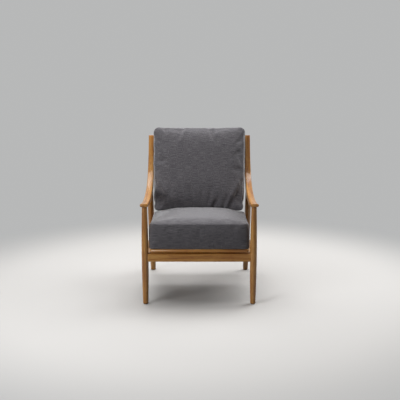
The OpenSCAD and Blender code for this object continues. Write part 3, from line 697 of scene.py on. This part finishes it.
def boxed_cushion(name, cushion, warp, place, held):
    """The box of panels cut to a grid, mapped to the filled shape, with pattern coordinates and
    pinned places."""
    bm = bmesh.new()
    bmesh.ops.create_cube(bm, size=2)
    for axis, size in enumerate(("width", "length", "height")):
        cuts = round(cushion[size] / CELL)
        normal = [1.0 if i == axis else 0.0 for i in range(3)]
        band = 1 - 2 * SEAM_BAND / cushion[size]
        for along in [2 * i / cuts - 1 for i in range(1, cuts)] + [-band, band]:
            cut(bm, [along * n for n in normal], normal)
    weft = bm.loops.layers.uv.new("weft")
    layer = bm.verts.layers.float_vector.new("box")
    half = halves(cushion)
    for face in bm.faces:
        middle = face.calc_center_median()
        axis = max(range(3), key=lambda i: abs(middle[i]))
        on = PANEL_SHIFT[axis] * middle[axis]
        for loop in face.loops:
            x, y, z = (c * h for c, h in zip(loop.vert.co, half))
            loop[weft].uv = [(y + on, z), (x + on, z), (x, y + on)][axis]
    for vert in bm.verts:
        box = vert[layer] = vert.co.copy()
        vert.co = place @ warp(cushion_point(cushion, box))
    mesh = bpy.data.meshes.new(name)
    bm.to_mesh(mesh)
    bm.free()
    piece = bpy.data.objects.new(name, mesh)
    scene.collection.objects.link(piece)
    mesh.materials.append(cloth)
    mesh.shade_smooth()
    group = piece.vertex_groups.new(name="held")
    for index, box in enumerate(boxes(piece)):
        weight = held(box)
        if weight > 0:
            group.add([index], weight, "REPLACE")
    return piece


HELD_TOP = (0.30, 0.55)  # the seat's top is held more and more between these, along it
HELD_SOLE = (0.93, 0.99)  # and the back's cloth between these, down it


def seat_held(box):
    """The seat's cloth is held at the sole, at the rear border with the zip and under the back."""
    if box.z < -ON_FACE or box.y > ON_FACE:
        return 1.0
    return ramp(box.y, *HELD_TOP) if box.z > ON_FACE else 0.0


def back_held(box):
    """The back's cloth is held at its sole, where the zip is."""
    return ramp(-box.y, *HELD_SOLE)


SETTLE_FRAMES = 20
BROAD_ROUNDS = 25  # rounds of averaging that leave only the broad part of the swell
BROAD_KEPT = 0.1  # share of the broad swell that is kept, because the cut shape is full already


def spread(values, neighbours, rounds):
    """Averages each value with its neighbours, so only the broad part of a movement is left."""
    for _ in range(rounds):
        values = [
            (value + sum((values[n] for n in near), Vector())) / (1 + len(near))
            for value, near in zip(values, neighbours)
        ]
    return values


def settle(piece, pressure, slack, cap):
    """Blows the cushion up as cloth, keeps its folds and a share of its broad swell, and takes the
    simulation off. No point moves further than cap."""
    before = [v.co.copy() for v in piece.data.vertices]
    sim = piece.modifiers.new("settle", "CLOTH")
    settings = sim.settings
    settings.quality = 8
    settings.mass = 0.3
    settings.tension_stiffness = 20
    settings.compression_stiffness = 20
    settings.shear_stiffness = 8
    settings.bending_stiffness = 0.15
    settings.shrink_min = -slack
    settings.use_pressure = True
    settings.uniform_pressure_force = pressure
    settings.vertex_group_mass = "held"
    settings.effector_weights.gravity = 0
    sim.point_cache.frame_start = 1
    sim.point_cache.frame_end = SETTLE_FRAMES
    for frame_number in range(1, SETTLE_FRAMES + 1):
        scene.frame_set(frame_number)
    graph = bpy.context.evaluated_depsgraph_get()
    settled = piece.evaluated_get(graph).to_mesh()
    moves = [v.co - start for v, start in zip(settled.vertices, before)]
    piece.evaluated_get(graph).to_mesh_clear()
    piece.modifiers.remove(sim)
    neighbours = [[] for _ in before]
    for edge in piece.data.edges:
        first, second = edge.vertices
        neighbours[first].append(second)
        neighbours[second].append(first)
    swell = spread(moves, neighbours, BROAD_ROUNDS)
    for vert, start, moved, broad in zip(piece.data.vertices, before, moves, swell):
        moved = moved - broad * (1 - BROAD_KEPT)
        if moved.length > 1e-9:
            moved *= cap * math.tanh(moved.length / cap) / moved.length
        vert.co = start + moved
    scene.frame_set(1)


PUCKER_H, PUCKER_REACH, PUCKER_MM = 0.0013, 0.011, 9  # height, fade from the seam and wave length
PUCKER_STEPS = (3.1, 2.3)  # puts the waves of each seam in another place
CREASE_END = 0.12  # how far into its sine a crease starts, so that it doesn't end in a point
ROLL_AT = 2.2  # the soft roll beside a crease stands this many of its widths away
STEP_REACH = 0.075  # the emptier cloth on a crease's low side fills up again over this distance
# Start, end, depth, width, roll and step of each crease, from the middle of the back's face
BACK_CREASES = [
    (Vector((-0.284, -0.085)), Vector((-0.170, -0.240)), 0.014, 0.010, 0.006, 0.013),
    (Vector((0.185, -0.262)), Vector((0.280, -0.095)), 0.013, 0.011, 0.006, 0.010),
    (Vector((-0.150, -0.275)), Vector((-0.168, -0.205)), 0.008, 0.007, 0.003, 0),
    (Vector((0.084, -0.275)), Vector((0.118, -0.205)), 0.011, 0.009, 0.004, 0),
    (Vector((0.150, -0.275)), Vector((0.172, -0.222)), 0.010, 0.008, 0.004, 0),
    (Vector((-0.098, 0.270)), Vector((-0.132, 0.165)), 0.008, 0.010, 0.004, 0),
    (Vector((0.060, 0.265)), Vector((0.085, 0.165)), 0.008, 0.010, 0.004, 0),
    (Vector((-0.225, 0.262)), Vector((-0.200, 0.190)), 0.002, 0.010, 0.002, 0),
    (Vector((0.150, 0.262)), Vector((0.135, 0.200)), 0.002, 0.012, 0.002, 0),
]


def unfolded(box, half):
    """Place of a point on the big face's plane, with the borders folded flat beside it."""
    x, y, z = (c * h for c, h in zip(box, half))
    fall = half[2] - z
    if abs(box.x) > ON_FACE:
        x = math.copysign(half[0] + fall, x)
    elif abs(box.y) > ON_FACE:
        y = math.copysign(half[1] + fall, y)
    return Vector((x, y))


def pucker(box, half):
    """Small waves that the seam thread draws into the cloth on both sides of it."""
    from_sides = [h * (1 - abs(c)) for c, h in zip(box, half)]
    along = max(range(3), key=lambda i: from_sides[i])
    run = box[along] * half[along] * 1000
    seam = [step * box[(along + i) % 3] for i, step in enumerate(PUCKER_STEPS, 1)]
    wave = noise.noise(Vector((run / PUCKER_MM, *seam)))
    return PUCKER_H * math.exp(-sorted(from_sides)[1] / PUCKER_REACH) * wave


def crease_depth(point, creases):
    """Sum of the creases at a point. Each runs from start to end, sharp at its line, with a soft
    roll on one side and on the other a step down to cloth that has less filling under it."""
    total = 0.0
    for start, end, depth, width, roll, step in creases:
        line = end - start
        t = within((point - start).dot(line) / line.length_squared, 0, 1)
        offset = point - start - line * t
        fade = math.sin(math.pi * mix(CREASE_END, 1 - CREASE_END, t))
        side = (line.x * offset.y - line.y * offset.x) / line.length
        away = offset.length / width
        past_end = 0 if 0 < t < 1 else away * away / 4
        total -= depth * fade * math.exp(-away * away)
        total += roll * fade * math.exp(-((side / width - ROLL_AT) ** 2) - past_end)
        if side < 0:
            reach = math.exp(-((offset.length / STEP_REACH) ** 2))
            total -= step * math.sqrt(fade) * (1 - math.exp(-away * away)) * reach
    return total


def sculpt(piece, cushion, creases, room):
    """Presses the creases and seam puckers into the settled cushion. Its sides flatten where wood
    holds them, room away from the middle of the chair."""
    half = halves(cushion)
    normals = [v.normal.copy() for v in piece.data.vertices]
    for vert, box, normal in zip(piece.data.vertices, boxes(piece), normals):
        push = pucker(box, half)
        if box.z > -ON_FACE:
            push += crease_depth(unfolded(box, half), creases)
        vert.co += normal * push
        vert.co.x = within(vert.co.x, -room, room)


SAG_SOLE = 0.8  # cloth past this share of the way down the back is measured against the seat
SAG_LENGTH = (0.35, 1)  # it follows more and more between these shares of the way down
SAG_DEPTH = (-0.45, 0.10)  # and between these shares of its thickness, towards the sitter


def sag_onto(piece, below, clearance, most):
    """Lets the sole's front half down along the spindles until it rests on the cushion below, each
    column of the grid by its own gap. The cloth above it follows less and less, and the rear half
    with the zip stays."""
    faces = [list(p.vertices) for p in below.data.polygons]
    top = BVHTree.FromPolygons([v.co for v in below.data.vertices], faces)
    down = BACK_PLACE.to_3x3() @ Vector((0, -1, 0))
    places = boxes(piece)
    gaps = {}
    for vert, box in zip(piece.data.vertices, places):
        column = round(box.x, 4)
        hit = top.ray_cast(vert.co, down) if box.y < -SAG_SOLE else [None]
        if hit[0]:
            gaps[column] = min(gaps.get(column, 1), hit[3])
    columns = sorted(gaps)
    lowest = [min(gaps[c] for c in columns[max(0, i - 1) : i + 2]) for i in range(len(columns))]
    drops = {}
    for i, column in enumerate(columns):
        near = lowest[max(0, i - 1) : i + 2]
        drops[column] = within(sum(near) / len(near) - clearance, 0, most)
    for vert, box in zip(piece.data.vertices, places):
        column = min(columns, key=lambda c: abs(c - box.x))
        vert.co += down * drops[column] * ramp(-box.y, *SAG_LENGTH) * ramp(box.z, *SAG_DEPTH)


def finish_cushion(piece, body, nodes):
    """Subdivides the cloth once, says what the cushion rides on, and hides the solids that it takes
    the place of.
    """
    smooth = piece.modifiers.new("subdivision", "SUBSURF")
    smooth.levels = smooth.render_levels = 1
    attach(piece, body)
    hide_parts(*nodes)


seat_cushion = boxed_cushion("seat_cushion_sewn", SEAT, seat_warp, SEAT_PLACE, seat_held)
back_cushion = boxed_cushion("back_cushion_sewn", BACK, back_warp, BACK_PLACE, back_held)
settle(seat_cushion, pressure=3, slack=0.012, cap=0.004)
settle(back_cushion, pressure=2.5, slack=0.04, cap=0.005)
sculpt(seat_cushion, SEAT, [], room=0.2842)
sculpt(back_cushion, BACK, BACK_CREASES, room=0.2844)
sag_onto(back_cushion, seat_cushion, clearance=0.0007, most=0.013)
finish_cushion(seat_cushion, "seat_cushion", ["seat_cushion_cover", "seat_cushion_foam"])
finish_cushion(back_cushion, "back_cushion", ["back_cushion_cover", "back_cushion_filling"])


# Zips: two woven tapes with a row of moulded teeth between them, and a pull on each slider.
# Each is made flat, the row along X and its outside towards Y, and laid on its border.

ZIP_L, ZIP_H, ZIP_T = 0.420, 0.022, 0.0012
ZIP_START = -0.190  # middle of the slider at rest
TAPE_T, TAPE_SLOT = 0.0006, 0.0012  # the two tapes' thickness, and the slot between them
TOOTH, TOOTH_OUT, TOOTH_ASIDE = (0.0017, 0.0008, 0.0036), 0.0002, 0.0006
TOOTH_PITCH = 0.003  # real teeth of this size stand 1.3 mm apart, drawn coarser
SLIDER_H = 0.004
SLIDER_PARTS_MM = [  # size, middle and rounding of its body, neck, bridge, pull and pull's ring
    ((12, 1.68, 9), (0, -1.16, 0), 0.8),
    ((9.6, 1.2, 4.5), (0, 0.32, 0), 0.5),
    ((6.6, 0.88, 2.52), (1, 1.44, 0), 0.4),
    ((16, 1.4, 5), (12, 1, 0), 0.6),
    ((4, 1.8, 3.4), (5, 1, 0), 0.4),
]

# The seat's tape lies on the flat band of the solid's rear border, a quarter of the seams' depth in
SEAT_ZIP_Z = SEAT["height"] / 2
SEAT_ZIP_Y = SEAT["length"] / 2 - SEAM_IN / 4 + math.tan(SEAT_LEAN) * SEAT_ZIP_Z
# The back's tape lies on the flat band of the solid's sole, between these shares of its thickness
SOLE_V = (0.04, 0.25)
SOLE_IN = [SEAM_IN * (1 - (2 * v - 1) ** 2) - SEAM_IN for v in SOLE_V]
SOLE_MID = BACK["height"] * sum(SOLE_V) / 2
SOLE_RUN = (SOLE_V[1] - SOLE_V[0]) * BACK["height"]
SOLE_SLOPE = (SOLE_IN[1] - SOLE_IN[0]) / SOLE_RUN + math.tan(SEAT_LEAN)
SOLE_Y = -BACK["length"] / 2 - sum(SOLE_IN) / 2 - SOLE_MID * math.tan(SEAT_LEAN)


def seat_zip_place(out):
    """The seat's rear border, out from its flat band."""
    return (
        SEAT_PLACE @ Matrix.Translation((0, SEAT_ZIP_Y + out, SEAT_ZIP_Z))
        @ Matrix.Rotation(-SEAT_LEAN, 4, "X")
    )


def back_zip_place(out):
    """The back's sole, out from its flat band."""
    return (
        BACK_PLACE @ Matrix.Translation((0, SOLE_Y, SOLE_MID))
        @ Matrix.Rotation(math.atan(SOLE_SLOPE), 4, "X") @ Matrix.Diagonal((1, -1, 1, 1))
        @ Matrix.Translation((0, out, 0))
    )


def block(bm, size, centre, offset=0):
    """Adds a block, with rounded edges where an offset is given."""
    matrix = Matrix.Translation(centre) @ Matrix.Diagonal((*size, 1))
    verts = bmesh.ops.create_cube(bm, size=1, matrix=matrix)["verts"]
    if offset:
        round_edges(bm, list(dict.fromkeys(e for v in verts for e in v.link_edges)), offset, 2)


def zip_pieces(name, place, body, slider_body):
    """A zip's tape, teeth and slider."""
    laid = place(REST_GAP + ZIP_T / 2)
    tape = bmesh.new()
    for side in (-1, 1):
        size = (ZIP_L, TAPE_T, (ZIP_H - TAPE_SLOT) / 2)
        block(tape, size, (0, -TAPE_T / 2, side * (ZIP_H + TAPE_SLOT) / 4), 0.0002)
    bmesh.ops.transform(tape, matrix=laid, verts=tape.verts)
    piece = finished(name + "_tape_woven", tape, zip_tape, body)
    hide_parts(name + "_tape")
    teeth = bmesh.new()
    count = int(ZIP_L / TOOTH_PITCH) - 2
    for i in range(count):
        side = 1 if i % 2 else -1
        along = (i - (count - 1) / 2) * TOOTH_PITCH
        block(teeth, TOOTH, (along, TOOTH_OUT, side * TOOTH_ASIDE))
    bmesh.ops.transform(teeth, matrix=laid, verts=teeth.verts)
    finished(name + "_teeth", teeth, nylon_teeth, body, sharp=30)
    slider = bmesh.new()
    for size, centre, offset in SLIDER_PARTS_MM:
        block(slider, [s / 1000 for s in size], [c / 1000 for c in centre], offset / 1000)
    laid = place(2 * REST_GAP + ZIP_T + SLIDER_H / 2) @ Matrix.Translation((ZIP_START, 0, 0))
    bmesh.ops.transform(slider, matrix=laid, verts=slider.verts)
    piece = finished(name + "_slider_cast", slider, nickel, slider_body)
    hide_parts(name + "_slider")


zip_pieces("seat_zip", seat_zip_place, "seat_cushion", "seat_zip")
zip_pieces("back_zip", back_zip_place, "back_cushion", "back_zip")


# Floor and light

BACKDROP = "#e3e4e4"
BACKDROP_STRENGTH = 0.62
BACKDROP_BOUNCE = 0.04  # strength of the light that the backdrop throws on the chair
FLOOR = "#cfcdc9"
FLOOR_BOUNCE = "#666462"  # darker for the light that it throws back up at the chair
FLOOR_HALF = 9
FADE = (1.15, 2.1)  # distances at which the floor begins and ends turning into the backdrop


def seen_directly(tree):
    """1 for what the camera and shiny surfaces see, 0 for light that bounces about."""
    path = add(tree, "LightPath")
    rays = {0: path.outputs["Is Camera Ray"], 1: path.outputs["Is Glossy Ray"]}
    return add(tree, "Math", rays, operation="MAXIMUM").outputs["Value"]


def pale_floor():
    """A matt floor that turns into the backdrop away from the chair."""
    bm = bmesh.new()
    bmesh.ops.create_grid(bm, x_segments=1, y_segments=1, size=FLOOR_HALF)
    mesh = bpy.data.meshes.new("pale_floor")
    bm.to_mesh(mesh)
    bm.free()
    floor = bpy.data.objects.new("pale_floor", mesh)
    scene.collection.objects.link(floor)
    material, tree, shader = new_material("matt_pale_floor")
    seen = seen_directly(tree)
    tone = add(
        tree, "Mix", {"Factor": seen, COLOUR_A: FLOOR_BOUNCE, COLOUR_B: FLOOR}, data_type="RGBA"
    )
    feed(tree, shader, {"Base Color": tone.outputs[MIXED], "Roughness": 0.8})
    place = add(tree, "TexCoord").outputs["Object"]
    reach = add(tree, "VectorMath", {0: place}, operation="LENGTH").outputs["Value"]
    fade = add(
        tree, "MapRange", {"Value": reach, "From Min": FADE[0], "From Max": FADE[1]},
        interpolation_type="SMOOTHSTEP",
    )
    shown = add(tree, "Math", {0: fade.outputs["Result"], 1: seen}, operation="MULTIPLY")
    glow = add(tree, "Emission", {"Color": BACKDROP, "Strength": BACKDROP_STRENGTH})
    blend = add(tree, "MixShader", {
        0: shown.outputs["Value"], 1: shader.outputs["BSDF"], 2: glow.outputs["Emission"],
    })
    surface = next(node for node in tree.nodes if node.type == "OUTPUT_MATERIAL")
    feed(tree, surface, {"Surface": blend.outputs["Shader"]})
    mesh.materials.append(material)


def area_light(name, place, aim, size, watts, colour):
    data = bpy.data.lights.new(name, "AREA")
    data.shape = "RECTANGLE"
    data.size, data.size_y = size
    data.energy = watts
    data.color = linear(colour)[:3]
    lamp = bpy.data.objects.new(name, data)
    lamp.location = place
    lamp.rotation_euler = (Vector(aim) - Vector(place)).to_track_quat("-Z", "Y").to_euler()
    scene.collection.objects.link(lamp)


def pale_world():
    """The backdrop shows to the camera and in gloss, and lights the chair less than it shows."""
    world = bpy.data.worlds.new("pale_studio")
    scene.world = world
    world.use_nodes = True
    tree = world.node_tree
    tree.nodes.clear()
    strength = add(tree, "MapRange", {
        "Value": seen_directly(tree), "To Min": BACKDROP_BOUNCE, "To Max": BACKDROP_STRENGTH,
    })
    backdrop = add(tree, "Background", {"Color": BACKDROP, "Strength": strength.outputs["Result"]})
    add(tree, "OutputWorld", {"Surface": backdrop.outputs["Background"]})


pale_floor()
area_light("skylight", (-0.4, 0.5, 3.0), (0, 0.2, 0.3), (3.0, 2.8), 103, "#fdfdff")
area_light("skylight_right", (1.8, 0.8, 2.6), (0, 0.2, 0.4), (1.6, 2.4), 56, "#fdfdff")
area_light("window_left", (-2.6, -2.6, 1.5), (0, 0, 0.5), (1.6, 1.6), 72, "#fbfcff")
pale_world()


# Camera, as worked out from the photograph

SENSOR_MM = 36
FOCAL_PIXELS, PHOTO_PIXELS = 728, 400
CAMERA_PLACE = (0.004, ORIGIN_Y - 3.952, 1.361)
CAMERA_DOWN = 10.9  # degrees

camera_data = bpy.data.cameras.new("camera")
camera_data.sensor_width = SENSOR_MM
camera_data.lens = FOCAL_PIXELS / PHOTO_PIXELS * SENSOR_MM
camera = bpy.data.objects.new("camera", camera_data)
camera.location = CAMERA_PLACE
camera.rotation_euler = (math.radians(90 - CAMERA_DOWN), 0, 0)
scene.collection.objects.link(camera)
scene.camera = camera

scene.view_settings.view_transform = "Standard"
